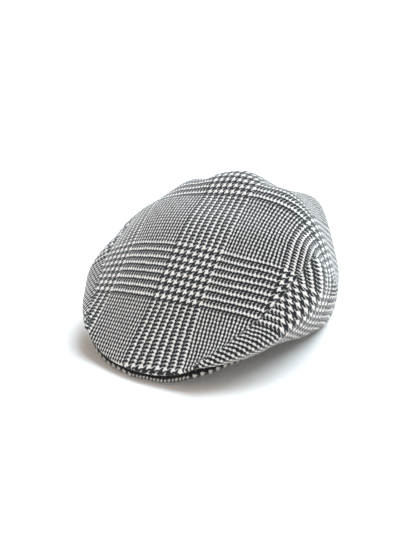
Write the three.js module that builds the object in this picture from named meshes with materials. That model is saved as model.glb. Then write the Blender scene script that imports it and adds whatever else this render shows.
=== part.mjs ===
// A flat cap of plaid wool cloth: a top panel that runs from the edge of the peak over the crown
// and down the back, a leaf shaped panel on each side, and a cloth covered peak.
// Millimetres. +Z is up, the peak points towards -Y and the wearer's left is +X.
// The cap rests on Z = 0 with the head opening downwards.

import * as THREE from 'three';
import { mergeVertices } from 'three/addons/utils/BufferGeometryUtils.js';

// ---------------------------------------------------------------- driving dimensions

const wall = 2.4; // cloth and its backing
const seamGap = 0.3; // between two panels
const roofPower = 3.2; // how late the roof of the crown falls away towards the seam
const hemSlope = 40; // degrees above level at which a side leaves its hem
const hemTuck = 11; // how far that lower slope reaches

// Plan of the hem, a long oval. Its front half is drawn out over the peak.
const hemOval = {
  halfWidth: 83,
  middle: 6,
  frontReach: 136,
  backReach: 97,
  frontPower: 2.4,
  backPower: 2.2,
};

// The crown's sections from the front edge to the centre back. Each starts on the ridge in the
// middle, at ridgeY and ridgeZ, and crosses the seam at seamX, seamY and seamZ. Below the seam
// it falls at an angle of that many degrees, bellies out and ends on the hem at hemZ.
const sections = [
  // front edge
  { seamX: 56, seamY: -108, seamZ: 23, ridgeY: -122, ridgeZ: 8, fall: 32, belly: 3, hemTurn: 36, hemZ: 17 },
  // over the peak
  { seamX: 70, seamY: -82, seamZ: 38, ridgeY: -93, ridgeZ: 36, fall: 26, belly: 17, hemTurn: 48, hemZ: 17 },
  // temple
  { seamX: 82, seamY: -53, seamZ: 54, ridgeY: -62, ridgeZ: 69, fall: 26, belly: 31, hemTurn: 64, hemZ: 17 },
  // side
  { seamX: 88, seamY: -25, seamZ: 72, ridgeY: -30, ridgeZ: 95, fall: 26, belly: 36, hemTurn: 78, hemZ: 16 },
  // seam's top
  { seamX: 91, seamY: -4, seamZ: 80, ridgeY: 1, ridgeZ: 108, fall: 36, belly: 29, hemTurn: 86, hemZ: 11 },
  // behind it
  { seamX: 98, seamY: 19, seamZ: 49, ridgeY: 34, ridgeZ: 122, fall: 71, belly: 6, hemTurn: 92, hemZ: 9 },
  // side rear
  { seamX: 85, seamY: 46, seamZ: 42, ridgeY: 74, ridgeZ: 105, fall: 76, belly: 5, hemTurn: 104, hemZ: 5 },
  // back corner
  { seamX: 60, seamY: 90, seamZ: 42, ridgeY: 109, ridgeZ: 84, fall: 82, belly: 12, hemTurn: 132, hemZ: 0 },
  // centre back
  { seamX: 0, seamY: 121, seamZ: 42, ridgeY: 121, ridgeZ: 42, fall: 78, belly: 18, hemTurn: 180, hemZ: 0 },
];

// Soft swells and hollows of the worn cloth. Each is centred on a place along and across the
// crown, rises that far from the head's middle, and dies away over its two spans.
const swells = [
  { along: 0.64, across: -0.04, rise: 3.5, spanAlong: 0.07, spanAcross: 0.15 }, // hump on the top
  { along: 0.66, across: -0.38, rise: -5, spanAlong: 0.08, spanAcross: 0.1 }, // hollow on its right
  { along: 0.68, across: 0.27, rise: -5, spanAlong: 0.07, spanAcross: 0.12 }, // hollow on its left
  { along: 0.81, across: 0.48, rise: 6, spanAlong: 0.08, spanAcross: 0.25 }, // shoulder at the left rear
  { along: 0.42, across: -1.05, rise: -3, spanAlong: 0.06, spanAcross: 0.2 }, // slack at the right seam
  { along: 0.27, across: -1.25, rise: 3, spanAlong: 0.06, spanAcross: 0.3 }, // fullness below it
  { along: 0.31, across: 1.9, rise: -2, spanAlong: 0.04, spanAcross: 0.3 }, // tuck low on the left side
];
const headMiddle = { y: 4, z: 30 };

// The peak's rounded edge from the centre to its heel inside the side panel.
const peakEdge = [
  { across: 0, back: -121.5, under: 0, over: 5 }, // centre
  { across: 30, back: -116.5, under: 1.5, over: 7.5 }, // quarter
  { across: 55, back: -104.5, under: 9, over: 16 }, // below the seam's tip
  { across: 66, back: -86, under: 14, over: 16.6 }, // corner
  { across: 71, back: -64, under: 13, over: 16.6 }, // heel
];
const peakRoot = { across: 66, back: -82, heelBack: -60, under: 13, over: 17 };

// Mesh steps
const stepsAlong = 40; // front edge to centre back
const stepsRoof = 14; // ridge to seam
const stepsSide = 8; // seam to hem
const stepsPeak = 36; // heel to heel
const stepsPeakDepth = 5; // edge to root

// ---------------------------------------------------------------- curves

const radians = (degrees) => (degrees * Math.PI) / 180;

// A smooth curve through one column of a table. The far end mirrors at the centre line, and
// sign is -1 for a column that changes sign there.
function smooth(table, column, place, sign = 1) {
  const last = table.length - 1;
  const value = (index) => {
    if (index < 0) return 2 * table[0][column] - table[1][column];
    if (index > last) return sign * table[2 * last - index][column];
    return table[index][column];
  };
  const scaled = Math.min(Math.max(place, 0), 1) * last;
  const index = Math.min(Math.floor(scaled), last - 1);
  const f = scaled - index;
  const [a, b, c, d] = [-1, 0, 1, 2].map((offset) => value(index + offset));
  const bend = 2 * a - 5 * b + 4 * c - d;
  const twist = 3 * b - a - 3 * c + d;
  return 0.5 * (2 * b + (c - a) * f + bend * f * f + twist * f * f * f);
}

function section(along) {
  const at = { seamX: smooth(sections, 'seamX', along, -1) };
  for (const column of ['seamY', 'seamZ', 'ridgeY', 'ridgeZ', 'fall', 'belly', 'hemTurn']) {
    at[column] = smooth(sections, column, along);
  }
  at.hemZ = Math.max(0, smooth(sections, 'hemZ', along));
  return at;
}

// The hem's point and the level direction out of the cap there.
function hem(at) {
  const angle = radians(at.hemTurn);
  const ahead = Math.cos(angle) > 0;
  const power = 2 / (ahead ? hemOval.frontPower : hemOval.backPower);
  const reach = ahead ? -hemOval.frontReach : hemOval.backReach;
  const point = new THREE.Vector3(
    hemOval.halfWidth * Math.sin(angle) ** power,
    hemOval.middle + reach * Math.abs(Math.cos(angle)) ** power,
    at.hemZ,
  );
  const outX = point.x / hemOval.halfWidth ** 2;
  const outY = (point.y - hemOval.middle) / reach ** 2;
  const out = new THREE.Vector3(outX, outY, 0);
  return { point, out: out.normalize() };
}

function rise(along, across) {
  let sum = 0;
  for (const swell of swells) {
    const a = (along - swell.along) / swell.spanAlong;
    const b = (across - swell.across) / swell.spanAcross;
    sum += swell.rise * Math.exp(-a * a - b * b);
  }
  return sum;
}

// A point of the crown's outer face. across runs from 0 on the ridge through 1 at the seam to 2
// at the hem, and is negative on the wearer's right.
function crownPoint(along, across) {
  const at = section(along);
  const side = Math.abs(across);
  const point = new THREE.Vector3();
  if (side <= 1) {
    point.set(
      at.seamX * side,
      at.ridgeY + (at.seamY - at.ridgeY) * side ** 2,
      at.ridgeZ + (at.seamZ - at.ridgeZ) * side ** roofPower,
    );
  } else {
    const { point: foot, out } = hem(at);
    const seam = new THREE.Vector3(at.seamX, at.seamY, at.seamZ);
    const fall = radians(at.fall);
    const lower = radians(hemSlope);
    const tuck = hemTuck * Math.min(1, along / 0.15);
    const bulge = seam.clone().addScaledVector(out, at.belly * Math.cos(fall));
    bulge.z -= at.belly * Math.sin(fall);
    const tucked = foot.clone().addScaledVector(out, tuck * Math.cos(lower));
    tucked.z += tuck * Math.sin(lower);
    new THREE.CubicBezierCurve3(seam, bulge, tucked, foot).getPoint(side - 1, point);
  }
  if (across < 0) point.x = -point.x;
  const away = point.clone().sub(new THREE.Vector3(0, headMiddle.y, headMiddle.z)).normalize();
  return point.addScaledVector(away, rise(along, across));
}

// ---------------------------------------------------------------- closed shells from grids

// A closed solid from an outer and an inner grid of points, with rows and columns in step.
function shell(outer, inner) {
  const positions = [];
  const triangle = (a, b, c) => {
    const area = new THREE.Triangle(a, b, c).getArea();
    if (area > 1e-6) for (const point of [a, b, c]) positions.push(point.x, point.y, point.z);
  };
  const quad = (a, b, c, d) => {
    triangle(a, b, c);
    triangle(a, c, d);
  };
  const rows = outer.length - 1;
  const columns = outer[0].length - 1;
  for (let i = 0; i < rows; i++) {
    for (let j = 0; j < columns; j++) {
      quad(outer[i][j], outer[i][j + 1], outer[i + 1][j + 1], outer[i + 1][j]);
      quad(inner[i][j], inner[i + 1][j], inner[i + 1][j + 1], inner[i][j + 1]);
    }
    quad(outer[i][0], outer[i + 1][0], inner[i + 1][0], inner[i][0]);
    quad(outer[i][columns], inner[i][columns], inner[i + 1][columns], outer[i + 1][columns]);
  }
  for (let j = 0; j < columns; j++) {
    quad(outer[0][j + 1], outer[0][j], inner[0][j], inner[0][j + 1]);
    quad(outer[rows][j], outer[rows][j + 1], inner[rows][j + 1], inner[rows][j]);
  }
  const geometry = new THREE.BufferGeometry();
  geometry.setAttribute('position', new THREE.Float32BufferAttribute(positions, 3));
  return mergeVertices(geometry, 1e-3);
}

// ---------------------------------------------------------------- crown

const half = stepsRoof + stepsSide;

function acrossOf(column) {
  const step = column - half;
  const away = Math.abs(step);
  const across = away <= stepsRoof ? away / stepsRoof : 1 + (away - stepsRoof) / stepsSide;
  return Math.sign(step) * across;
}

const crownOuter = [];
for (let i = 0; i <= stepsAlong; i++) {
  const row = [];
  for (let j = 0; j <= 2 * half; j++) row.push(crownPoint(i / stepsAlong, acrossOf(j)));
  crownOuter.push(row);
}

// Directions out of the cloth, shared where points coincide, so that panels meet squarely.
function directionsOut(grid) {
  const keyOf = (point) => point.toArray().map((value) => Math.round(value * 100)).join();
  const sums = new Map();
  for (let i = 0; i < grid.length - 1; i++) {
    for (let j = 0; j < grid[0].length - 1; j++) {
      const corners = [grid[i][j], grid[i][j + 1], grid[i + 1][j + 1], grid[i + 1][j]];
      const [a, b, c, d] = corners;
      const face = c.clone().sub(a).cross(d.clone().sub(b));
      for (const point of corners) {
        const key = keyOf(point);
        if (!sums.has(key)) sums.set(key, new THREE.Vector3());
        sums.get(key).add(face);
      }
    }
  }
  return grid.map((row) => row.map((point) => sums.get(keyOf(point)).clone().normalize()));
}

const crownOut = directionsOut(crownOuter);

// The inner face lies one wall inside. At the hem it is moved level, so the edge is flat.
const crownInner = crownOuter.map((row, i) =>
  row.map((point, j) => {
    const out = crownOut[i][j].clone();
    if (j === 0 || j === 2 * half) out.setZ(0).normalize();
    return point.clone().addScaledVector(out, -wall);
  }),
);

function cut(grid, from, to) {
  return grid.map((row) => row.slice(from, to + 1).map((point) => point.clone()));
}

// Moves an edge back by half the seam's gap, square to itself and towards the next row of points.
function drawBack(edge, next) {
  const last = edge.length - 1;
  const before = edge.map((point) => point.clone());
  edge.forEach((point, k) => {
    const along = before[Math.min(k + 1, last)].clone().sub(before[Math.max(k - 1, 0)]).normalize();
    const way = next[k].clone().sub(point);
    way.addScaledVector(along, -way.dot(along));
    point.addScaledVector(way.normalize(), seamGap / 2);
  });
}

function topPanel() {
  const faces = [crownOuter, crownInner].map((grid) => cut(grid, stepsSide, stepsSide + 2 * stepsRoof));
  for (const grid of faces) {
    const last = grid[0].length - 1;
    const upper = grid.slice(0, -1);
    drawBack(upper.map((row) => row[0]), upper.map((row) => row[1]));
    drawBack(upper.map((row) => row[last]), upper.map((row) => row[last - 1]));
    const tip = grid.at(-1)[stepsRoof];
    drawBack([tip], [grid.at(-2)[stepsRoof]]);
    for (const point of grid.at(-1)) point.copy(tip);
  }
  return shell(...faces);
}

// A side panel starts one step behind the crown's front corner, clear of the top panel's wall.
function sidePanel(side) {
  const from = side > 0 ? stepsSide + 2 * stepsRoof : 0;
  const faces = [crownOuter, crownInner].map((grid) => cut(grid.slice(1), from, from + stepsSide));
  const seam = side > 0 ? 0 : stepsSide;
  for (const grid of faces) {
    drawBack(grid.map((row) => row[seam]), grid.map((row) => row[seam + side]));
    // the two side panels meet at the centre back
    for (const row of grid) {
      for (const point of row) point.x = side * Math.max(side * point.x, seamGap / 2);
    }
  }
  return shell(...faces);
}

// ---------------------------------------------------------------- peak

// A crescent plate. It slopes down from its root under the front of the crown to its edge.
function peak() {
  const upper = [];
  const lower = [];
  for (let i = 0; i <= stepsPeak; i++) {
    const across = (2 * i) / stepsPeak - 1;
    const away = Math.abs(across);
    const side = Math.sign(across);
    const edgeX = side * smooth(peakEdge, 'across', away);
    const edgeY = smooth(peakEdge, 'back', away);
    const rootX = side * peakRoot.across * Math.sin((away * Math.PI) / 2);
    const rootBend = 1 - Math.cos((away * Math.PI) / 2);
    const rootY = peakRoot.back + (peakRoot.heelBack - peakRoot.back) * rootBend;
    const top = [];
    const bottom = [];
    for (let j = 0; j <= stepsPeakDepth; j++) {
      const f = j / stepsPeakDepth;
      const x = edgeX + (rootX - edgeX) * f;
      const y = edgeY + (rootY - edgeY) * f;
      const over = smooth(peakEdge, 'over', away);
      const under = smooth(peakEdge, 'under', away);
      top.push(new THREE.Vector3(x, y, over + (peakRoot.over - over) * f));
      bottom.push(new THREE.Vector3(x, y, under + (peakRoot.under - under) * f));
    }
    upper.push(top);
    lower.push(bottom);
  }
  return shell(upper.reverse(), lower.reverse());
}

// ---------------------------------------------------------------- assembly

function named(name, geometry, color) {
  geometry.computeVertexNormals();
  const material = new THREE.MeshStandardMaterial({ color, roughness: 0.95, metalness: 0 });
  const mesh = new THREE.Mesh(geometry, material);
  mesh.name = name;
  return mesh;
}

const cap = new THREE.Group();
cap.add(named('top_panel', topPanel(), 0x8d8c89));
cap.add(named('side_panel_left', sidePanel(1), 0x858482));
cap.add(named('side_panel_right', sidePanel(-1), 0x858482));
cap.add(named('peak', peak(), 0x7a7772));

export default cap;
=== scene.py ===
# A flat cap of plaid wool. Four sewn pieces: the top panel, a side panel on each side, the peak.
# Lengths are millimetres until a mesh is made, and then metres. The peak points towards -Y and
# the wearer's left is +X. The cap rests on Z = 0.

import functools
import math

import bpy
import numpy as np
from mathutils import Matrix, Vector


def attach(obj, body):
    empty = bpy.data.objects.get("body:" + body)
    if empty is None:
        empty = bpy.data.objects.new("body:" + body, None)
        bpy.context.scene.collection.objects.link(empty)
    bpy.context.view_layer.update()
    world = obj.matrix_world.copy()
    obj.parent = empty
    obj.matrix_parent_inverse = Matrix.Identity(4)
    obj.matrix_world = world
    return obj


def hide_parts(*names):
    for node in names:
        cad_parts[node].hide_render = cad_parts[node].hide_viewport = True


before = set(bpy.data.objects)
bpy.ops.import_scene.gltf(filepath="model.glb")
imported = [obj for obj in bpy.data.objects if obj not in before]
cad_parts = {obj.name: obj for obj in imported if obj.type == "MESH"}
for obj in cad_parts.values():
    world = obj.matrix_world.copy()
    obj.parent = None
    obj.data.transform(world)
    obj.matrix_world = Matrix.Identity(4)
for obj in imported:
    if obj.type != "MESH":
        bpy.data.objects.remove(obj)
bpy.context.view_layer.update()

# ---------------------------------------------------------------- driving dimensions

MM = 0.001
WALL = 2.4  # cloth and its backing
SEAM_GAP = 0.3  # between two panels
ROOF_POWER = 3.2  # how late the roof of the crown falls away towards the seam
HEM_SLOPE = math.radians(40)  # above level, at which a side leaves its hem
HEM_TUCK = 11  # how far that lower slope reaches
HEM_TUCK_GROWS = 0.15  # along, from the front edge, over which it grows to that
SEAM_ROLL = 0.7  # how far the cloth rolls in at a sewn seam
EDGE_ROLL = 1.6  # and at a turned edge
HEM_HALF_WIDTH = 83
HEM_MIDDLE = 6  # on Y
HEM_FRONT_REACH = 136
HEM_BACK_REACH = 97
HEM_FRONT_POWER = 2.4
HEM_BACK_POWER = 2.2
HEAD_MIDDLE = np.array([0.0, 4.0, 30.0])


def table(names, *rows):
    return dict(zip(names.split(), np.array(rows, float).T))


# The crown's sections from the front edge to the centre back. A side leaves its seam at fall degrees
# below level and swells by belly. hem_turn is where its foot stands round the hem's oval, in degrees
# from the front.
SECTIONS = table(
    "seam_x seam_y seam_z ridge_y ridge_z fall belly hem_turn hem_z",
    (56, -108, 23, -122, 8, 32, 3, 36, 17),  # front edge
    (70, -82, 38, -93, 36, 26, 17, 48, 17),  # over the peak
    (82, -53, 54, -62, 69, 26, 31, 64, 17),  # temple
    (88, -25, 72, -30, 95, 26, 36, 78, 16),  # side
    (91, -4, 80, 1, 108, 36, 29, 86, 11),  # seam's top
    (98, 19, 49, 34, 122, 71, 6, 92, 9),  # behind it
    (85, 46, 42, 74, 105, 76, 5, 104, 5),  # side rear
    (60, 90, 42, 109, 84, 82, 12, 132, 0),  # back corner
    (0, 121, 42, 121, 42, 78, 18, 180, 0),  # centre back
)

# Soft humps and hollows of the crown. along runs from 0 at the front edge to 1 at the centre back.
# across is 0 on the ridge, 1 at the seam and 2 at the hem, and negative on the wearer's right.
SWELLS = table(
    "along across rise span_along span_across",
    (0.64, -0.04, 3.5, 0.07, 0.15),  # hump on the top
    (0.66, -0.38, -5, 0.08, 0.10),  # hollow on its right
    (0.68, 0.27, -5, 0.07, 0.12),  # hollow on its left
    (0.81, 0.48, 6, 0.08, 0.25),  # shoulder at the left rear
    (0.42, -1.05, -3, 0.06, 0.20),  # slack at the right seam
    (0.27, -1.25, 3, 0.06, 0.30),  # fullness below it
    (0.31, 1.90, -2, 0.04, 0.30),  # tuck low on the left side
)

# low and high are the across values of a panel's two sides.
PANELS = {
    "top_panel": {
        "piece": "crown_top",
        "low": -1,
        "high": 1,
        "columns": 120,
        "rolls": (SEAM_ROLL, SEAM_ROLL),
    },
    "side_panel_left": {
        "piece": "crown_side_left",
        "low": 1,
        "high": 2,
        "columns": 34,
        "rolls": (SEAM_ROLL, EDGE_ROLL),
    },
    "side_panel_right": {
        "piece": "crown_side_right",
        "low": -2,
        "high": -1,
        "columns": 34,
        "rolls": (EDGE_ROLL, SEAM_ROLL),
    },
}
PANEL_ROWS = 190

# The peak from its middle to its heel: plan of its edge, and the height of its two faces.
PEAK_EDGE = table(
    "across back under over",
    (0, -121.5, 0, 5),
    (30, -116.5, 1.5, 7.5),
    (55, -104.5, 9, 16),
    (66, -86, 14, 16.6),
    (71, -64, 13, 16.6),
)
PEAK_ROOT_ACROSS = 66
PEAK_ROOT_BACK = -82
PEAK_HEEL_BACK = -60
PEAK_ROOT_UNDER = 13
PEAK_ROOT_OVER = 17
PEAK_ROLL_SHARE = 0.8  # of the peak's depth, the most that its rounded edge may take up
PEAK_STEPS = 120  # from heel to heel
PEAK_DEPTH = 22  # points from the root to the rounded edge
PEAK_NOSE = 10  # points round that edge

# How each piece is laid on the cloth. A thread pitch in millimetres each way, the turn of the
# cloth in degrees, and the threads that lie at the middle of the piece's front edge.
CLOTH = {
    "top_panel": {"pitch": (0.70, 0.777), "turn": (4.6, 5.7), "start": (-28.5, -83.6)},
    "side_panel_left": {"pitch": (0.86, 0.89), "turn": (162, 152), "start": (-71.5, 141)},
    "side_panel_right": {"pitch": (0.72, 0.77), "turn": (90, 90), "start": (-126, 105)},
    "peak": {"pitch": (0.75, 0.8), "turn": (0, 0), "start": (30, 30)},
}

# Where steam and sewing have eased the cloth, in threads.
EASE = {
    "top_panel": table(
        "along across shift_u shift_v span_along span_across",
        (0.00, -0.15, 6, 4, 0.15, 0.40),  # middle of the front
        (0.00, 0.80, -5, -3, 0.15, 0.40),  # left corner of the front
        (0.27, -0.70, -4, -1, 0.12, 0.40),  # right side
        (0.31, 0.25, -3, 1, 0.12, 0.30),  # middle
        (0.33, 1.00, -8, -9, 0.12, 0.30),  # left seam
        (0.56, 0.20, 7, -4, 0.12, 0.40),  # top
        (0.67, 0.85, 4, -18, 0.12, 0.35),  # left rear
    ),
    "side_panel_left": table(
        "along across shift_u shift_v span_along span_across",
        (0.25, 1.20, -6, -5, 0.16, 0.45),  # front
        (0.42, 1.10, 15, -14, 0.16, 0.45),  # under the seam's top
        (0.44, 1.60, 4, -2, 0.16, 0.45),  # low in the middle
        (0.60, 1.10, 6, 2, 0.16, 0.45),  # behind the seam's top
        (0.78, 1.20, -2, -2, 0.16, 0.45),  # rear
        (0.54, 1.70, 1, 6, 0.15, 0.45),  # low behind the seam's top
    ),
}

# ---------------------------------------------------------------- shape of the crown

STEP_ALONG = 0.002  # small steps, by which directions on the cloth are found
STEP_ACROSS = 0.004
LAST_ALONG = 0.992  # the directions there hold up to the centre back
TINY = 1e-9  # so that nothing is divided by zero


def unit(vectors):
    return vectors / np.maximum(np.linalg.norm(vectors, axis=-1, keepdims=True), TINY)


def blend(edge_from, edge_to, value):
    f = np.clip((value - edge_from) / (edge_to - edge_from), 0, 1)
    return f * f * (3 - 2 * f)


def curve_shares(f):
    """The shares of four points in a row, for a smooth curve between the second and the third."""
    return (
        (-f + 2 * f**2 - f**3) / 2,
        (2 - 5 * f**2 + 3 * f**3) / 2,
        (f + 4 * f**2 - 3 * f**3) / 2,
        (f**3 - f**2) / 2,
    )


def smooth(column, place, sign=1):
    """A smooth curve through a column. The far end mirrors at the centre line."""
    last = len(column) - 1
    values = np.concatenate([[2 * column[0] - column[1]], column, [sign * column[last - 1]]])
    scaled = np.clip(place, 0, 1) * last
    index = np.minimum(np.floor(scaled).astype(int), last - 1)
    return sum(share * values[index + k] for k, share in enumerate(curve_shares(scaled - index)))


def hills(rows, along, across, column):
    """The sum of soft round hills, one for each row."""
    total = np.zeros(np.broadcast(along, across).shape)
    for k in range(len(rows["along"])):
        a = (along - rows["along"][k]) / rows["span_along"][k]
        b = (across - rows["across"][k]) / rows["span_across"][k]
        total = total + rows[column][k] * np.exp(-a * a - b * b)
    return total


def crown(along, across):
    """Points of the crown's outer face. across is negative on the wearer's right."""
    along, across = np.broadcast_arrays(np.asarray(along, float), np.asarray(across, float))
    at = {name: smooth(column, along) for name, column in SECTIONS.items()}
    at["seam_x"] = smooth(SECTIONS["seam_x"], along, -1)
    hem_z = np.maximum(at["hem_z"], 0)
    side = np.abs(across)
    f = np.minimum(side, 1)
    roof = np.stack(
        [
            at["seam_x"] * f,
            at["ridge_y"] + (at["seam_y"] - at["ridge_y"]) * f**2,
            at["ridge_z"] + (at["seam_z"] - at["ridge_z"]) * f**ROOF_POWER,
        ],
        -1,
    )
    turn = np.radians(at["hem_turn"])
    ahead = np.cos(turn) > 0
    power = 2 / np.where(ahead, HEM_FRONT_POWER, HEM_BACK_POWER)
    reach = np.where(ahead, -HEM_FRONT_REACH, HEM_BACK_REACH)
    foot = np.stack(
        [
            HEM_HALF_WIDTH * np.maximum(np.sin(turn), 0) ** power,
            HEM_MIDDLE + reach * np.abs(np.cos(turn)) ** power,
            hem_z,
        ],
        -1,
    )
    out = unit(
        np.stack([foot[..., 0] / HEM_HALF_WIDTH**2, (foot[..., 1] - HEM_MIDDLE) / reach**2, 0 * hem_z], -1)
    )
    up = np.array([0.0, 0.0, 1.0])
    seam = np.stack([at["seam_x"], at["seam_y"], at["seam_z"]], -1)
    fall = np.radians(at["fall"])[..., None]
    belly = at["belly"][..., None]
    tuck = (HEM_TUCK * np.minimum(1, along / HEM_TUCK_GROWS))[..., None]
    bulge = seam + belly * (out * np.cos(fall) - up * np.sin(fall))
    tucked = foot + tuck * (out * math.cos(HEM_SLOPE) + up * math.sin(HEM_SLOPE))
    t = np.clip(side - 1, 0, 1)[..., None]
    lower = seam * (1 - t) ** 3 + 3 * bulge * t * (1 - t) ** 2 + 3 * tucked * t**2 * (1 - t) + foot * t**3
    point = np.where((side <= 1)[..., None], roof, lower)
    point[..., 0] *= np.where(across < 0, -1, 1)
    away = unit(point - HEAD_MIDDLE)
    return point + away * hills(SWELLS, along, across, "rise")[..., None]


def crown_out(along, across, low, high):
    """Directions out of the cloth, by small steps inside the panel between low and high."""
    near = np.minimum(along, LAST_ALONG)
    back, ahead = np.maximum(near - STEP_ALONG, 0), near + STEP_ALONG
    left, right = np.maximum(across - STEP_ACROSS, low), np.minimum(across + STEP_ACROSS, high)
    lengthways = crown(ahead, across) - crown(back, across)
    crossways = crown(near, right) - crown(near, left)
    out = unit(np.cross(crossways, lengthways))
    facing = ((crown(near, across) - HEAD_MIDDLE) * out).sum(-1, keepdims=True)
    return np.where(facing < 0, -out, out)


def seam_out(along, side):
    """The direction out of a seam, which both of its panels share."""
    inner, outer = sorted((0.0, side)), sorted((side, 2.0 * side))
    return unit(crown_out(along, side + 0 * along, *inner) + crown_out(along, side + 0 * along, *outer))


# ---------------------------------------------------------------- cloth laid flat

FLAT_ROWS = 41
FLAT_COLUMNS = 25
FLAT_END = 0.99  # along, where the grid that is laid flat ends
FLAT_ROUNDS = 60
FLAT_STIFFNESS = (0.05, 20)  # the least and most of a triangle's side
FLAT_HOLD = 1e-7  # a slight hold on every point, so that the sum can be solved
LEAST_FACE = 1e-3  # twice the area below which a triangle is left out


def run(points, axis):
    """The distance run along each line of points, from its start."""
    steps = np.linalg.norm(np.diff(points, axis=axis), axis=-1)
    return np.insert(steps, 0, 0, axis=axis).cumsum(axis)


def grid_triangles(rows, columns):
    """Two triangles in each square of a grid. Squares that meet are split in opposite ways."""
    number = np.arange(rows * columns).reshape(rows, columns)
    a, b, c, d = number[:-1, :-1], number[:-1, 1:], number[1:, 1:], number[1:, :-1]
    odd = (np.add.outer(np.arange(rows - 1), np.arange(columns - 1)) % 2 == 1)[..., None]
    first = np.where(odd, np.stack([a, b, c], -1), np.stack([a, b, d], -1))
    second = np.where(odd, np.stack([a, c, d], -1), np.stack([b, c, d], -1))
    return np.concatenate([first.reshape(-1, 3), second.reshape(-1, 3)])


def flatten(points):
    """Lays a grid of points flat with as little stretch as the shape allows."""
    rows, columns = points.shape[:2]
    place = points.reshape(-1, 3)
    corner = grid_triangles(rows, columns)
    a, b, c = (place[corner[:, k]] for k in range(3))
    face = np.cross(b - a, c - a)
    real = np.linalg.norm(face, axis=1) > LEAST_FACE
    corner, a, b, c, face = corner[real], a[real], b[real], c[real], face[real]

    # each triangle in its own plane
    x_way = unit(b - a)
    y_way = np.cross(unit(face), x_way)
    flat = np.zeros((len(corner), 3, 2))
    flat[:, 1, 0] = np.linalg.norm(b - a, axis=1)
    flat[:, 2, 0] = ((c - a) * x_way).sum(1)
    flat[:, 2, 1] = ((c - a) * y_way).sum(1)

    # each side's two ends, and how it pulls on them
    sides = []
    pull = np.eye(len(place)) * FLAT_HOLD
    for k in range(3):
        here, ahead, opposite = (flat[:, (k + step) % 3] for step in range(3))
        q, r = here - opposite, ahead - opposite
        wedge = np.abs(q[:, 0] * r[:, 1] - q[:, 1] * r[:, 0])
        stiff = np.clip((q * r).sum(1) / wedge, *FLAT_STIFFNESS)
        i, j = corner[:, k], corner[:, (k + 1) % 3]
        for one, other, value in ((i, i, stiff), (j, j, stiff), (i, j, -stiff), (j, i, -stiff)):
            np.add.at(pull, (one, other), value)
        sides.append((i, j, stiff[:, None] * (here - ahead)))
    solve = np.linalg.inv(pull)

    # again and again, the triangles are turned to fit the corners and the corners are moved to fit them
    middle = columns // 2
    widths, lengths = run(points, 1), run(points[:, middle], 0)
    laid = np.stack([widths - widths[:, middle : middle + 1], np.repeat(lengths[:, None], columns, 1)], -1)
    laid = laid.reshape(-1, 2)
    for _ in range(FLAT_ROUNDS):
        lean = sum((laid[i] - laid[j])[:, :, None] * side[:, None, :] for i, j, side in sides)
        angle = np.arctan2(lean[:, 1, 0] - lean[:, 0, 1], lean[:, 0, 0] + lean[:, 1, 1])
        cos, sin = np.cos(angle), np.sin(angle)
        spin = np.stack([np.stack([cos, -sin], -1), np.stack([sin, cos], -1)], -2)
        target = np.zeros(laid.shape)
        for i, j, side in sides:
            turned = np.einsum("nij,nj->ni", spin, side)
            np.add.at(target, i, turned)
            np.add.at(target, j, -turned)
        moved = solve @ target
        laid = moved - moved.mean(0) + laid.mean(0)
    return laid.reshape(rows, columns, 2)


def between(grid, row, column):
    """Smooth values of a grid at fractional rows and columns."""
    padded = np.concatenate([2 * grid[:1] - grid[1:2], grid, 2 * grid[-1:] - grid[-2:-1]])
    first, last = 2 * padded[:, :1] - padded[:, 1:2], 2 * padded[:, -1:] - padded[:, -2:-1]
    padded = np.concatenate([first, padded, last], 1)
    i = np.clip(np.floor(row).astype(int), 0, grid.shape[0] - 2)
    j = np.clip(np.floor(column).astype(int), 0, grid.shape[1] - 2)
    total = 0
    for a, row_share in enumerate(curve_shares(row - i)):
        for b, column_share in enumerate(curve_shares(column - j)):
            total = total + (row_share * column_share)[..., None] * padded[i + a, j + b]
    return total


@functools.cache
def laid_flat(low, high):
    """A panel's grid of places, laid out flat in millimetres."""
    along, across = np.linspace(0, FLAT_END, FLAT_ROWS), np.linspace(low, high, FLAT_COLUMNS)
    return flatten(crown(along[:, None], across))


def cut_size(low, high):
    """The width and length in metres that a panel is cut from, and its area laid flat."""
    flat = laid_flat(low, high) * MM
    edge = np.concatenate([flat[0], flat[1:, -1], flat[-1, -2::-1], flat[-2:0:-1, 0]])
    ahead = np.roll(edge, -1, 0)
    area = abs((edge[:, 0] * ahead[:, 1] - edge[:, 1] * ahead[:, 0]).sum()) / 2
    width, length = edge.max(0) - edge.min(0)
    return (float(width), float(length)), float(area)


def threads_at(flat, name):
    """The warp and weft thread that lie at each place of a piece laid flat."""
    pitch_u, pitch_v = CLOTH[name]["pitch"]
    turn_u, turn_v = np.radians(CLOTH[name]["turn"])
    warp_step = (pitch_u * math.cos(turn_u), pitch_u * math.sin(turn_u))
    weft_step = (-pitch_v * math.sin(turn_v), pitch_v * math.cos(turn_v))
    return flat @ np.linalg.inv(np.array([warp_step, weft_step])) + np.array(CLOTH[name]["start"])


def panel_threads(name, along, across):
    """The warp and weft thread that lie at each point of a panel."""
    low, high = PANELS[name]["low"], PANELS[name]["high"]
    row = along / FLAT_END * (FLAT_ROWS - 1)
    column = (across - low) / (high - low) * (FLAT_COLUMNS - 1)
    threads = threads_at(between(laid_flat(low, high), row, column), name)
    if name in EASE:
        threads[..., 0] += hills(EASE[name], along, across, "shift_u")
        threads[..., 1] += hills(EASE[name], along, across, "shift_v")
    return threads


# ---------------------------------------------------------------- panels

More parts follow.
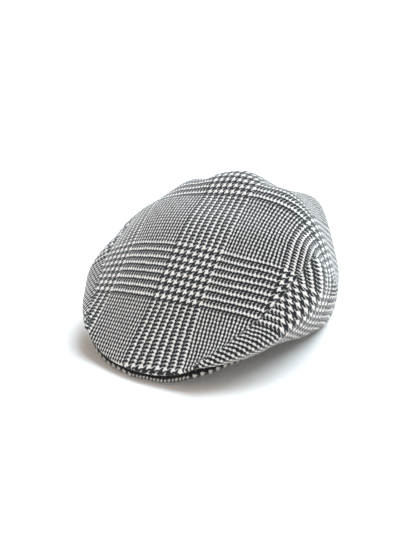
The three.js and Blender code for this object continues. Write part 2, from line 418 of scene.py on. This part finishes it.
ROLL_STEPS = np.array([0, 0.03, 0.13, 0.3, 0.55, 1.0])  # of the roll's width, from the edge inwards
ROLL_SHARE = 0.3  # of a panel, the most that one rolled edge may take up
GAP_SHARE = 0.02  # the same for a seam's gap
FRONT_POINTS = 11  # points more than a panel's columns, at which its front edge is measured
SEAM_BLEND = 6  # from a seam, over which a panel turns to the direction that both panels share
HEM_BLEND = 3  # from the hem, over which the cloth's thickness turns level
EDGE_THREADS = 1.5  # that lie over a panel's side edges
LEAST_UNIT = 1e-3  # millimetres, so that nothing is divided by zero
SHARP = math.radians(50)  # the turn over which an edge is shaded sharp


def roll_drop(distance, width):
    """How far a rolled edge drops, at a distance from it."""
    near = np.clip(distance, 0, width)
    return width - np.sqrt(np.maximum(width**2 - (width - near) ** 2, 0))


def edge_spacing(count, start, end, start_unit, end_unit, start_roll, end_roll):
    """Places from start to end. Near a rolled edge they stand closer, in millimetres.
    start_unit and end_unit are the millimetres in one unit there, and may be arrays."""
    first = ROLL_STEPS * start_roll
    last = ROLL_STEPS[::-1] * end_roll if end_roll else np.zeros(1)
    most = ROLL_SHARE * (end - start)
    heads = [np.minimum(d / start_unit, most * d / first[-1]) + start for d in first]
    tails = [end - np.minimum(d / end_unit, most * d / max(last[0], TINY)) for d in last]
    middle = [heads[-1] + (tails[0] - heads[-1]) * k / count for k in range(1, count)]
    shape = np.broadcast(start_unit, end_unit).shape
    return np.stack([np.broadcast_to(p, shape) for p in [*heads, *middle, *tails]], -1)


def side_unit(along, place, inwards):
    """The millimetres in one unit of across at a panel's side, square to that side."""
    side = place + 0 * along
    crossways = (crown(along, side + inwards * STEP_ACROSS) - crown(along, side)) / STEP_ACROSS
    ahead, back = np.minimum(along + STEP_ALONG, 1), np.maximum(along - STEP_ALONG, 0)
    way = unit(crown(ahead, side) - crown(back, side))
    square = crossways - way * (crossways * way).sum(-1, keepdims=True)
    return np.maximum(np.linalg.norm(square, axis=-1), LEAST_UNIT)


def turned(out, towards, distance, reach):
    """Directions that turn towards others within a reach of a panel's side."""
    share = 1 - blend(0, reach, distance)[..., None]
    return unit(out * (1 - share) + towards * share)


def panel(name):
    """Outer and inner grids of one panel of the crown, and its threads."""
    low, high, columns, rolls = (PANELS[name][key] for key in ("low", "high", "columns", "rolls"))
    front = np.linspace(low, high, columns + FRONT_POINTS)
    step = 2 * STEP_ALONG
    front_unit = (np.linalg.norm(crown(step, front) - crown(0.0, front), axis=-1) / step).mean()
    line = np.ravel(edge_spacing(PANEL_ROWS, 0, 1, front_unit, 1.0, EDGE_ROLL, None))
    low_unit, high_unit = side_unit(line, low, 1), side_unit(line, high, -1)
    low_gap = SEAM_GAP / 2 if abs(low) == 1 else 0
    high_gap = SEAM_GAP / 2 if abs(high) == 1 else 0
    start = low + np.minimum(low_gap / low_unit, GAP_SHARE * (high - low))
    end = high - np.minimum(high_gap / high_unit, GAP_SHARE * (high - low))
    ends = zip(start, end, low_unit, high_unit)
    across = np.stack([edge_spacing(columns, *row, *rolls) for row in ends])
    along = np.broadcast_to(line[:, None], across.shape)
    base = crown(along, across)
    out = crown_out(along, across, low, high)

    # distances from the front edge and from the two sides
    front_far = along * front_unit
    low_far = (across - start[:, None]) * low_unit[:, None]
    high_far = (end[:, None] - across) * high_unit[:, None]
    for place, far in ((low, low_far), (high, high_far)):
        if abs(place) == 1:
            out = turned(out, seam_out(line, place)[:, None, :], far, SEAM_BLEND)
        else:
            out = turned(out, unit(out * np.array([1, 1, 0])), far, HEM_BLEND)
    drop = roll_drop(front_far, EDGE_ROLL)
    for far, roll in zip((low_far, high_far), rolls):
        drop = np.maximum(drop, roll_drop(far, roll))
    return base - out * drop[..., None], base - out * WALL, panel_threads(name, along, across)


def quads(a, b, c, d):
    """Faces with four corners, from four grids of point numbers."""
    return np.stack([a, b, c, d], -1).reshape(-1, 4)


def make_piece(name, points, faces, threads, slots, materials):
    """A smooth mesh in the scene. Its UV map is the threads that lie at its points."""
    mesh = bpy.data.meshes.new(name)
    mesh.from_pydata((points * MM).tolist(), [], faces)
    layer = mesh.uv_layers.new(name="threads")
    corners = np.empty(len(mesh.loops), dtype=np.int32)
    mesh.loops.foreach_get("vertex_index", corners)
    layer.data.foreach_set("uv", threads[corners].astype(np.float32).ravel())
    mesh.polygons.foreach_set("material_index", slots.astype(np.int32))
    mesh.polygons.foreach_set("use_smooth", np.ones(len(faces), dtype=bool))
    for material in materials:
        mesh.materials.append(material)
    mesh.update()
    mesh.validate()
    piece = bpy.data.objects.new(name, mesh)
    bpy.context.scene.collection.objects.link(piece)
    mesh.set_sharp_from_angle(angle=SHARP)
    return piece


def panel_piece(name, materials):
    """A panel as a closed mesh. Its inner face has the second material."""
    outer, inner, threads = panel(name)
    rows, columns = outer.shape[:2]
    n = np.arange(rows * columns).reshape(rows, columns)
    m = n + rows * columns
    outside = quads(n[:-1, :-1], n[:-1, 1:], n[1:, 1:], n[1:, :-1])
    inside = quads(m[:-1, :-1], m[1:, :-1], m[1:, 1:], m[:-1, 1:])
    rims = [
        quads(n[:-1, 0], n[1:, 0], m[1:, 0], m[:-1, 0]),
        quads(n[:-1, -1], m[:-1, -1], m[1:, -1], n[1:, -1]),
        quads(n[0, 1:], n[0, :-1], m[0, :-1], m[0, 1:]),
        quads(n[-1, :-1], n[-1, 1:], m[-1, 1:], m[-1, :-1]),
    ]
    faces = np.concatenate([outside, *rims, inside])
    slots = np.arange(len(faces)) >= len(faces) - len(inside)
    points = np.concatenate([outer.reshape(-1, 3), inner.reshape(-1, 3)])
    inner_threads = threads.copy()
    inner_threads[:, 0] += EDGE_THREADS * np.sign(threads[:, 0] - threads[:, -1])
    inner_threads[:, -1] += EDGE_THREADS * np.sign(threads[:, -1] - threads[:, 0])
    both = np.concatenate([threads.reshape(-1, 2), inner_threads.reshape(-1, 2)])
    return make_piece(PANELS[name]["piece"], points, faces.tolist(), both, slots, materials)


# ---------------------------------------------------------------- peak


def peak_rings():
    """Rings round the peak's section, from heel to heel: its top, its rounded edge, its underside."""
    place = np.linspace(-1, 1, PEAK_STEPS + 1)
    away, side = np.abs(place), np.sign(place)
    edge = np.stack([side * smooth(PEAK_EDGE["across"], away), smooth(PEAK_EDGE["back"], away)], -1)
    under, over = smooth(PEAK_EDGE["under"], away), smooth(PEAK_EDGE["over"], away)
    root_x = side * PEAK_ROOT_ACROSS * np.sin(away * math.pi / 2)
    root_y = PEAK_ROOT_BACK + (PEAK_HEEL_BACK - PEAK_ROOT_BACK) * (1 - np.cos(away * math.pi / 2))
    root = np.stack([root_x, root_y], -1)
    way = unit(edge - root)
    half = (over - under) / 2
    roll = np.minimum(half, PEAK_ROLL_SHARE * np.linalg.norm(edge - root, axis=-1))
    f = np.linspace(0, 1, PEAK_DEPTH)
    turn = np.radians(np.linspace(90, -90, PEAK_NOSE + 2)[1:-1])
    rings = []
    for k in range(PEAK_STEPS + 1):
        start, stop = root[k], edge[k] - way[k] * roll[k]
        top_z = PEAK_ROOT_OVER + (over[k] - PEAK_ROOT_OVER) * f
        top = np.column_stack([start + (stop - start) * f[:, None], top_z])
        nose_z = (over[k] + under[k]) / 2 + half[k] * np.sin(turn)
        nose = np.column_stack([stop + way[k] * roll[k] * np.cos(turn)[:, None], nose_z])
        bottom_z = under[k] + (PEAK_ROOT_UNDER - under[k]) * f
        bottom = np.column_stack([stop + (start - stop) * f[:, None], bottom_z])
        rings.append(np.concatenate([top, nose, bottom]))
    return np.array(rings)


def peak_piece(name, materials):
    """The peak as a closed mesh, with a flat face at each heel."""
    rings = peak_rings()
    steps, around = rings.shape[:2]
    n = np.arange(steps * around).reshape(steps, around)
    a, b = n[:-1], n[1:]
    faces = quads(a, np.roll(a, -1, 1), np.roll(b, -1, 1), b).tolist()
    faces += [n[0, ::-1].tolist(), n[-1].tolist()]
    middle = around // 2
    sideways, deep = run(rings[:, middle], 0), run(rings, 1)
    sideways = np.broadcast_to((sideways - sideways[steps // 2])[:, None], deep.shape)
    flat = np.stack([sideways, deep - deep[:, middle : middle + 1]], -1)
    threads = threads_at(flat.reshape(-1, 2), "peak")
    return make_piece(name, rings.reshape(-1, 3), faces, threads, np.zeros(len(faces)), materials)


# ---------------------------------------------------------------- materials

WIDE = 8  # threads in the wide stripes' repeat, half of them dark
FINE = 4  # and in the fine stripes' repeat
BAND = 64  # threads in a band of either stripe
WARP_START = 32  # threads from the middle of a warp band to its edge
TWILL = 4  # threads in the twill's repeat: two over and two under
TWILL_START = 3.0  # threads, where the repeat begins
FIBRE_REACH = 0.6  # threads
DRIFT = 2.2  # threads, how much the yarns wander
DRIFT_SCALE = 0.16  # per thread, as every scale of noise in the wool is
DRIFT_DETAIL = 2.5

# cover is how much a dark yarn's loose fibres darken the pale yarns beside it, and through is how
# much a dark yarn shows through a pale one.
WOOL = {
    "pale": (0.845, 0.78, 0.72, 1.0),
    "dark": (0.014, 0.014, 0.016, 1.0),
    "cover": 0.44,
    "through": 0.05,
}
# The peak's wool: the same cloth, made darker and browner. This is painted shade, as under the crown's
# front edge.
SHADED_PEAK_WOOL = {
    "pale": (0.46, 0.41, 0.36, 1.0),
    "dark": (0.006, 0.005, 0.005, 1.0),
    "cover": 0.60,
    "through": 0.45,
}
WOOL_SURFACE = {
    "Specular IOR Level": 0.2,
    "Sheen Weight": 0.35,
    "Sheen Roughness": 0.4,
    "Sheen Tint": (1.0, 0.98, 0.95, 1.0),
}
WOOL_ROUGHNESS = (0.15, 0.8)  # a scale and an offset
WOOL_BUMP = 0.25  # how high the yarns stand
FIBRE_BUMP = 0.4  # of that, how high their fibres stand
ARCH = (0.6, 0.4)  # how far a yarn's height changes along it, a scale and an offset
BUMP_STRENGTH = 0.5

# How these change the wool's brightness: a scale and an offset.
FIBRE_TONE = (0.5, 0.75)
UNEVEN_TONE = (0.4, 0.8)
SLOW_TONE = (0.2, 0.9)
# The yarns' height darkens them towards their edges and ends. This is painted shade in the gaps between
# them.
GAP_SHADE_TONE = (0.45, 0.6)

# Noise in the wool: its scales along the two sets of yarns, and its detail.
WARP_FIBRE = (3.0, 0.5, 2.0)
WEFT_FIBRE = (0.5, 3.0, 2.0)
UNEVEN_YARN = (0.35, 0.35, 3.0)
SLOW_CHANGE = (0.02, 0.02, 2.0)

BACKING_DARK = (0.035, 0.035, 0.038, 1)
BACKING_PALE = (0.12, 0.115, 0.11, 1)
BACKING_SURFACE = {"Specular IOR Level": 0.2, "Sheen Weight": 0.1}
BACKING_ROUGHNESS = (0.1, 0.85)
BACKING_RIB = 0.8  # between ribs
BACKING_RIB_SHARE = 0.35  # of its tone. The rest is its grain.
BACKING_GRAIN = 220.0  # per metre
BACKING_BUMP = 0.2


class Graph:
    """Short calls for the nodes of one material."""

    def __init__(self, name, surface):
        self.material = bpy.data.materials.new(name)
        self.material.use_nodes = True
        self.tree = self.material.node_tree
        self.shader = self.tree.nodes["Principled BSDF"]
        for key, value in surface.items():
            self.shader.inputs[key].default_value = value

    def node(self, kind, **settings):
        made = self.tree.nodes.new(kind)
        for key, value in settings.items():
            setattr(made, key, value)
        return made

    def put(self, socket, value):
        if isinstance(value, bpy.types.NodeSocket):
            self.tree.links.new(value, socket)
        else:
            socket.default_value = value

    def math(self, operation, *values):
        made = self.node("ShaderNodeMath", operation=operation)
        for socket, value in zip(made.inputs, values):
            self.put(socket, value)
        return made.outputs[0]

    def scaled(self, value, scale, offset):
        return self.math("MULTIPLY_ADD", value, scale, offset)

    def below(self, value, limit):
        return self.math("LESS_THAN", value, limit)

    def wrap(self, value, period):
        return self.math("FLOORED_MODULO", value, float(period))

    def mix(self, share, first, second):
        made = self.node("ShaderNodeMix", data_type="FLOAT")
        self.put(made.inputs["Factor"], share)
        self.put(made.inputs["A"], first)
        self.put(made.inputs["B"], second)
        return made.outputs["Result"]

    def mix_colour(self, share, first, second, way="MIX"):
        made = self.node("ShaderNodeMix", data_type="RGBA", blend_type=way)
        self.put(made.inputs["Factor"], share)
        self.put(made.inputs[6], first)
        self.put(made.inputs[7], second)
        return made.outputs[2]

    def split(self, vector):
        made = self.node("ShaderNodeSeparateXYZ")
        self.put(made.inputs[0], vector)
        return made.outputs

    def noise(self, vector, scale, detail):
        made = self.node("ShaderNodeTexNoise")
        self.put(made.inputs["Vector"], vector)
        made.inputs["Scale"].default_value = scale
        made.inputs["Detail"].default_value = detail
        return made.outputs

    def bump(self, height, distance):
        made = self.node("ShaderNodeBump")
        self.put(made.inputs["Height"], height)
        made.inputs["Strength"].default_value = BUMP_STRENGTH
        made.inputs["Distance"].default_value = distance * MM
        self.put(self.shader.inputs["Normal"], made.outputs[0])


def stripe(g, thread):
    """Dark threads: half of each wide group in one band, and half of each fine group in the next."""
    wide = g.below(g.wrap(thread, WIDE), WIDE / 2 - 0.5)
    fine = g.below(g.wrap(thread, FINE), FINE / 2 - 0.5)
    band = g.below(g.wrap(thread, 2 * BAND), BAND - 0.5)
    return g.mix(band, fine, wide)


def over_warp(g, warp, weft):
    """1 where the warp is on top: two over and two under, stepping one thread each row."""
    place = g.math("ADD", g.math("SUBTRACT", warp, weft), TWILL_START)
    return g.below(g.wrap(place, TWILL), TWILL / 2 - 0.5)


def dark_at(g, u, v):
    """1 where the yarn on top is a dark one, and the same for the yarn beneath."""
    warp, weft = g.math("FLOOR", u), g.math("FLOOR", v)
    warp_dark, weft_dark = stripe(g, g.math("ADD", warp, float(WARP_START))), stripe(g, weft)
    over = over_warp(g, warp, weft)
    return g.mix(over, weft_dark, warp_dark), g.mix(over, warp_dark, weft_dark)


def dark_share(g, u, v, cover, through):
    """How dark the cloth is. The dark yarns show through from beneath a pale one, and their loose
    fibres lie over the pale yarns beside them."""
    top, beneath = dark_at(g, u, v)
    share = g.scaled(beneath, through, top)
    reach = FIBRE_REACH
    for step_u, step_v in ((reach, 0.0), (-reach, 0.0), (0.0, reach), (0.0, -reach)):
        beside, _ = dark_at(g, g.math("ADD", u, step_u), g.math("ADD", v, step_v))
        share = g.scaled(beside, cover, share)
    return g.math("MINIMUM", share, 1.0)


def rounded(g, place):
    """The height over a yarn, where place runs from 0 to 1 across it or along it."""
    x = g.scaled(place, 2.0, -1.0)
    return g.math("SUBTRACT", 1.0, g.math("MULTIPLY", x, x))


def yarn_height(g, u, v, warp_over):
    """The rounded form of each yarn where it lies on top."""
    warp, weft = g.math("FLOOR", u), g.math("FLOOR", v)
    weft_place = g.math("ADD", g.math("SUBTRACT", u, weft), TWILL_START)
    warp_run = g.scaled(g.wrap(g.math("SUBTRACT", warp, v), TWILL), 2 / TWILL, 0.0)
    weft_run = g.scaled(g.wrap(weft_place, TWILL), 2 / TWILL, -1.0)
    heights = []
    for place, lengthways in ((v, weft_run), (u, warp_run)):
        arch = g.scaled(rounded(g, lengthways), *ARCH)
        heights.append(g.math("MULTIPLY", rounded(g, g.math("FRACT", place)), arch))
    return g.mix(warp_over, *heights)


def yarn_noise(g, u, v, scale_u, scale_v, detail):
    """Noise with its own scale along each set of yarns."""
    stretch = g.node("ShaderNodeCombineXYZ")
    g.put(stretch.inputs[0], g.math("MULTIPLY", u, scale_u))
    g.put(stretch.inputs[1], g.math("MULTIPLY", v, scale_v))
    return g.noise(stretch.outputs[0], 1.0, detail)[0]


def plaid(name, wool):
    """The checked wool: its dark and pale yarns, their rounded form, fibres and changes of tone, and
    painted shade in the gaps between the yarns.
    """
    g = Graph(name, WOOL_SURFACE)
    threads = g.node("ShaderNodeUVMap", uv_map="threads").outputs[0]
    place = g.split(threads)
    drift = g.node("ShaderNodeSeparateColor")
    g.put(drift.inputs[0], g.noise(threads, DRIFT_SCALE, DRIFT_DETAIL)["Color"])
    u, v = (g.scaled(g.math("SUBTRACT", drift.outputs[k], 0.5), DRIFT, place[k]) for k in (0, 1))
    warp_over = over_warp(g, g.math("FLOOR", u), g.math("FLOOR", v))
    height = yarn_height(g, u, v, warp_over)
    fibre = g.mix(warp_over, yarn_noise(g, u, v, *WEFT_FIBRE), yarn_noise(g, u, v, *WARP_FIBRE))
    uneven = yarn_noise(g, u, v, *UNEVEN_YARN)
    slow = yarn_noise(g, u, v, *SLOW_CHANGE)
    light = g.scaled(fibre, *FIBRE_TONE)
    # Random changes of tone, and painted shade where each yarn dips into the gaps.
    for change, tone in ((uneven, UNEVEN_TONE), (slow, SLOW_TONE), (height, GAP_SHADE_TONE)):
        light = g.math("MULTIPLY", light, g.scaled(change, *tone))
    shade = g.node("ShaderNodeCombineColor")
    for socket in shade.inputs[:3]:
        g.put(socket, light)
    yarn = g.mix_colour(dark_share(g, u, v, wool["cover"], wool["through"]), wool["pale"], wool["dark"])
    g.put(g.shader.inputs["Base Color"], g.mix_colour(1.0, yarn, shade.outputs[0], "MULTIPLY"))
    g.put(g.shader.inputs["Roughness"], g.scaled(fibre, *WOOL_ROUGHNESS))
    g.bump(g.scaled(fibre, FIBRE_BUMP, height), WOOL_BUMP)
    return g.material


def backing(name):
    """The plain dark inside of the cloth, with a fine slanting rib."""
    g = Graph(name, BACKING_SURFACE)
    where = g.node("ShaderNodeTexCoord").outputs["Object"]
    place = g.split(where)
    x = g.math("MULTIPLY", g.math("ADD", place[0], place[2]), 1.0 / (BACKING_RIB * MM))
    y = g.math("MULTIPLY", g.math("SUBTRACT", place[1], place[2]), 1.0 / (BACKING_RIB * MM))
    ribs = g.scaled(g.math("SINE", g.math("MULTIPLY", g.math("ADD", x, y), math.pi)), 0.5, 0.5)
    grain = g.noise(where, BACKING_GRAIN, 3.0)[0]
    tone = g.mix(BACKING_RIB_SHARE, grain, ribs)
    g.put(g.shader.inputs["Base Color"], g.mix_colour(tone, BACKING_DARK, BACKING_PALE))
    g.put(g.shader.inputs["Roughness"], g.scaled(grain, *BACKING_ROUGHNESS))
    g.bump(tone, BACKING_BUMP)
    return g.material


cloth = plaid("plaid_wool", WOOL)
# The peak wears a darker copy of the wool, which is painted shade.
shaded_peak_cloth = plaid("plaid_wool_peak_painted_shade", SHADED_PEAK_WOOL)
inside = backing("plain_backing")

pieces = {node: panel_piece(node, (cloth, inside)) for node in PANELS}
pieces["peak"] = peak_piece("peak_covered", (shaded_peak_cloth,))
for node, piece in pieces.items():
    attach(piece, "root")
    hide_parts(node)

# The three panels of the crown are cut flat from cloth and drawn over the head's shape. Here the size and
# area of each flat cut are found.
for node in PANELS:
    size, area = cut_size(PANELS[node]["low"], PANELS[node]["high"])

# ---------------------------------------------------------------- floor, light and camera

# The floor and its wall, in metres.
FLOOR_DROP = 0.0002  # below the cap
FLOOR_FLAT = 6.0  # radius of the level part
FLOOR_RINGS = (0.3, 1.0, 3.0, FLOOR_FLAT)
FLOOR_BEND = 2.0  # radius of the curve up into the wall
FLOOR_BEND_STEPS = 12
FLOOR_AROUND = 96
WALL_TOP = 3.5
WALL_GLOW = 0.5
PAINT = {
    "Base Color": (0.95, 0.905, 0.86, 1),
    "Roughness": 0.9,
    "Specular IOR Level": 0.1,
    "Emission Color": (0.86, 0.93, 1.0, 1),
}

# A lamp's name, its azimuth, elevation and spread in degrees, its power and its colour. Azimuth 0
# is in front of the peak, and 90 is on the wearer's left.
LIGHTS = (
    ("sky_rear", 172, 52, 60, 6.5, (0.72, 0.87, 1.0)),
    ("sky_right", 110, 40, 60, 0.2, (0.72, 0.87, 1.0)),
    ("window_front", -35, 24, 60, 0.75, (1.0, 0.66, 0.40)),
)
WORLD_COLOUR = (1.0, 0.87, 0.76, 1)
WORLD_STRENGTH = 0.15

# The camera. Its angles are in degrees, its lens and sensor in millimetres, and the rest in metres.
CAMERA_AZIMUTH = 35.3
CAMERA_ELEVATION = 21.5
CAMERA_DISTANCE = 0.676
CAMERA_AIM = Vector((0, -0.016, 0.052))
CAMERA_LEFT = 0.0019  # how far the aim is moved to the picture's left
CAMERA_DOWN = 0.0052  # and downwards
CAMERA_LENS = 53.2
CAMERA_SENSOR = 36


def pale_paint(name, glow):
    """The matt paint of the floor and of its wall."""
    return Graph(name, {**PAINT, "Emission Strength": glow}).material


def floor():
    """A pale round floor whose far edge curves up into a low wall, which glows a little."""
    turns = [0.5 * math.pi * k / FLOOR_BEND_STEPS for k in range(1, FLOOR_BEND_STEPS + 1)]
    rings = [(radius, 0.0) for radius in FLOOR_RINGS]
    rings += [(FLOOR_FLAT + FLOOR_BEND * math.sin(t), FLOOR_BEND * (1 - math.cos(t))) for t in turns]
    rings.append((FLOOR_FLAT + FLOOR_BEND, WALL_TOP))
    angles = [2 * math.pi * k / FLOOR_AROUND for k in range(FLOOR_AROUND)]
    circle = [(math.cos(angle), math.sin(angle)) for angle in angles]
    points = [(0.0, 0.0, 0.0)]
    points += [(radius * x, radius * y, height) for radius, height in rings for x, y in circle]
    faces = []
    for k in range(FLOOR_AROUND):
        after = (k + 1) % FLOOR_AROUND
        faces.append((0, 1 + k, 1 + after))
        for ring in range(len(rings) - 1):
            a, b = 1 + ring * FLOOR_AROUND, 1 + (ring + 1) * FLOOR_AROUND
            faces.append((a + k, b + k, b + after, a + after))
    on_wall = [max(points[corner][2] for corner in face) > 0 for face in faces]
    mesh = bpy.data.meshes.new("floor")
    mesh.from_pydata(points, [], faces)
    mesh.materials.append(pale_paint("pale_floor", 0.0))
    mesh.materials.append(pale_paint("pale_wall", WALL_GLOW))
    mesh.polygons.foreach_set("material_index", np.array(on_wall, dtype=np.int32))
    mesh.polygons.foreach_set("use_smooth", np.ones(len(faces), dtype=bool))
    mesh.update()
    made = bpy.data.objects.new("floor", mesh)
    made.location.z = -FLOOR_DROP
    bpy.context.scene.collection.objects.link(made)


def direction(azimuth, elevation):
    """The direction from the cap to where a lamp or the camera stands."""
    a, e = math.radians(azimuth), math.radians(elevation)
    return Vector((math.sin(a) * math.cos(e), -math.cos(a) * math.cos(e), math.sin(e)))


def looking_back(name, data, way):
    """A lamp or a camera that stands in this direction and looks back along it."""
    made = bpy.data.objects.new(name, data)
    made.rotation_mode = "QUATERNION"
    made.rotation_quaternion = (-way).to_track_quat("-Z", "Y")
    bpy.context.scene.collection.objects.link(made)
    return made


def soft_light(name, azimuth, elevation, spread, power, colour):
    """Wide even light from one side, as from a large softbox far away."""
    data = bpy.data.lights.new(name, "SUN")
    data.angle = math.radians(spread)
    data.energy = power
    data.color = colour
    looking_back(name, data, direction(azimuth, elevation))


def photo_camera():
    """The camera at the photograph's viewing angle."""
    toward = direction(CAMERA_AZIMUTH, CAMERA_ELEVATION)
    right = direction(CAMERA_AZIMUTH + 90, 0)
    upward = toward.cross(right)
    data = bpy.data.cameras.new("camera")
    data.sensor_width = CAMERA_SENSOR
    data.lens = CAMERA_LENS
    made = looking_back("camera", data, toward)
    made.location = CAMERA_AIM - right * CAMERA_LEFT - upward * CAMERA_DOWN + toward * CAMERA_DISTANCE
    return made


floor()
for light in LIGHTS:
    soft_light(*light)

world = bpy.data.worlds.new("studio")
world.use_nodes = True
world.node_tree.nodes["Background"].inputs[0].default_value = WORLD_COLOUR
world.node_tree.nodes["Background"].inputs[1].default_value = WORLD_STRENGTH
bpy.context.scene.world = world
bpy.context.scene.camera = photo_camera()
bpy.context.scene.view_settings.view_transform = "Standard"
bpy.context.scene.view_settings.look = "None"
